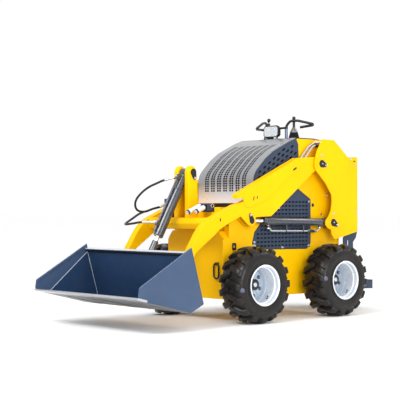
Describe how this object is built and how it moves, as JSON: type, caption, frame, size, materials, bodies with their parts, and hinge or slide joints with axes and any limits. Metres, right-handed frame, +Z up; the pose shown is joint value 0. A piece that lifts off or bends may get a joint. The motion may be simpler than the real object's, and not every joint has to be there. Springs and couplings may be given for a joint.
{
  "type": "stand-on skid steer loader with bucket",
  "caption": "Compact stand-on skid steer loader: lift arms on rear towers, bucket on a tilt cylinder, fold-up operator platform.",
  "frame": {"origin": "on the floor under the middle of the machine, bucket and platform included", "axes": "+X forward towards the bucket, +Y to the left, +Z up"},
  "size_m": [2.466, 1.104, 1.423],
  "materials": {
    "yellow_paint": "gloss enamel",
    "grey_paint": "satin powder coat",
    "slate_paint": "satin powder coat",
    "steel": "bright worn steel",
    "chrome": "polished",
    "black_paint": "satin",
    "pin_steel": "dark oiled steel",
    "cast": "raw",
    "black_plastic": "matte",
    "lens": "clear",
    "hose_rubber": "matte",
    "tyre_rubber": "matte",
    "rim_silver": "satin silver"
  },
  "bodies": {
    "chassis": {"arm_towers": "yellow_paint", "chassis_frame": "yellow_paint", "control_console": "black_plastic", "control_levers": "black_plastic", "engine_block": "cast", "grab_bars": "black_paint", "hood_cover": "grey_paint", "hood_sides": "slate_paint", "lashing_rings": "black_paint", "rear_guard": "slate_paint", "rear_panel": "slate_paint", "side_grilles": "slate_paint", "tower_pins": "pin_steel", "wheel_motors": "black_paint", "work_light": "black_plastic", "work_light_lens": "lens"},
    "lift_arm": {"lift_arms": "yellow_paint", "arm_crossbar": "yellow_paint", "arm_pins": "pin_steel", "coupler_bracket": "black_paint", "couplers": "steel", "tilt_hose_upper": "hose_rubber", "tilt_hose_lower": "hose_rubber", "hose_manifold": "steel", "arm_tubes": "steel"},
    "left_lift_barrel_body": {"left_lift_barrel": "black_paint"},
    "right_lift_barrel_body": {"right_lift_barrel": "black_paint"},
    "left_lift_rod_body": {"left_lift_rod": "chrome"},
    "right_lift_rod_body": {"right_lift_rod": "chrome"},
    "tilt_barrel_body": {"tilt_barrel": "black_paint", "tilt_ports": "steel"},
    "tilt_rod_body": {"tilt_rod": "chrome"},
    "bucket": {"bucket_shell": "slate_paint", "cutting_edge": "steel", "bucket_brackets": "slate_paint", "tilt_eye_pins": "pin_steel"},
    "platform_body": {"platform": "slate_paint"},
    "front_left_wheel": {"front_left_tyre": "tyre_rubber", "front_left_rim": "rim_silver"},
    "front_right_wheel": {"front_right_tyre": "tyre_rubber", "front_right_rim": "rim_silver"},
    "rear_left_wheel": {"rear_left_tyre": "tyre_rubber", "rear_left_rim": "rim_silver"},
    "rear_right_wheel": {"rear_right_tyre": "tyre_rubber", "rear_right_rim": "rim_silver"}
  },
  "joints": [
    {"name": "front_left_spin", "type": "hinge", "parent": "chassis", "child": "front_left_wheel", "pos_m": [0.158, 0.438, 0.254], "axis": [0, 1, 0], "continuous": true},
    {"name": "front_right_spin", "type": "hinge", "parent": "chassis", "child": "front_right_wheel", "pos_m": [0.158, -0.438, 0.254], "axis": [0, 1, 0], "continuous": true},
    {"name": "rear_left_spin", "type": "hinge", "parent": "chassis", "child": "rear_left_wheel", "pos_m": [-0.635, 0.438, 0.254], "axis": [0, 1, 0], "continuous": true},
    {"name": "rear_right_spin", "type": "hinge", "parent": "chassis", "child": "rear_right_wheel", "pos_m": [-0.635, -0.438, 0.254], "axis": [0, 1, 0], "continuous": true},
    {"name": "lift", "type": "hinge", "parent": "chassis", "child": "lift_arm", "pos_m": [-0.582, 0, 1.074], "axis": [0, -1, 0], "range_deg": [0, 65]},
    {"name": "bucket_tilt", "type": "hinge", "parent": "lift_arm", "child": "bucket", "pos_m": [0.688, 0, 0.262], "axis": [0, 1, 0], "range_deg": [-8, 110]},
    {"name": "platform_fold", "type": "hinge", "parent": "chassis", "child": "platform_body", "pos_m": [-0.927, 0, 0.19], "axis": [0, 1, 0], "range_deg": [0, 90]},
    {"name": "left_lift_barrel_swing", "type": "hinge", "parent": "chassis", "child": "left_lift_barrel_body", "pos_m": [-0.702, 0.318, 0.656], "axis": [0, -1, 0], "range_deg": [0, 46.95]},
    {"name": "left_lift_rod_slide", "type": "slide", "parent": "left_lift_barrel_body", "child": "left_lift_rod_body", "axis": [0.9997, 0, 0.0251], "range_m": [0, 0.3576]},
    {"name": "right_lift_barrel_swing", "type": "hinge", "parent": "chassis", "child": "right_lift_barrel_body", "pos_m": [-0.702, -0.318, 0.656], "axis": [0, -1, 0], "range_deg": [0, 46.95]},
    {"name": "right_lift_rod_slide", "type": "slide", "parent": "right_lift_barrel_body", "child": "right_lift_rod_body", "axis": [0.9997, 0, 0.0251], "range_m": [0, 0.3576]},
    {"name": "tilt_barrel_swing", "type": "hinge", "parent": "lift_arm", "child": "tilt_barrel_body", "pos_m": [0.38, 0, 1.002], "axis": [0, -1, 0], "range_deg": [-1.54, 0.12]},
    {"name": "tilt_rod_slide", "type": "slide", "parent": "tilt_barrel_body", "child": "tilt_rod_body", "axis": [0.496, 0, -0.8683], "range_m": [-0.0182, 0.2495]}
  ],
  "couplings": [
    {"joint": "left_lift_barrel_swing", "follows": "lift", "ratio": 0.72209},
    {"joint": "left_lift_rod_slide", "follows": "lift", "m_per_rad": 0.31515},
    {"joint": "right_lift_barrel_swing", "follows": "lift", "ratio": 0.72209},
    {"joint": "right_lift_rod_slide", "follows": "lift", "m_per_rad": 0.31515},
    {"joint": "tilt_barrel_swing", "follows": "bucket_tilt", "ratio": -0.01388},
    {"joint": "tilt_rod_slide", "follows": "bucket_tilt", "m_per_rad": 0.1299}
  ]
}
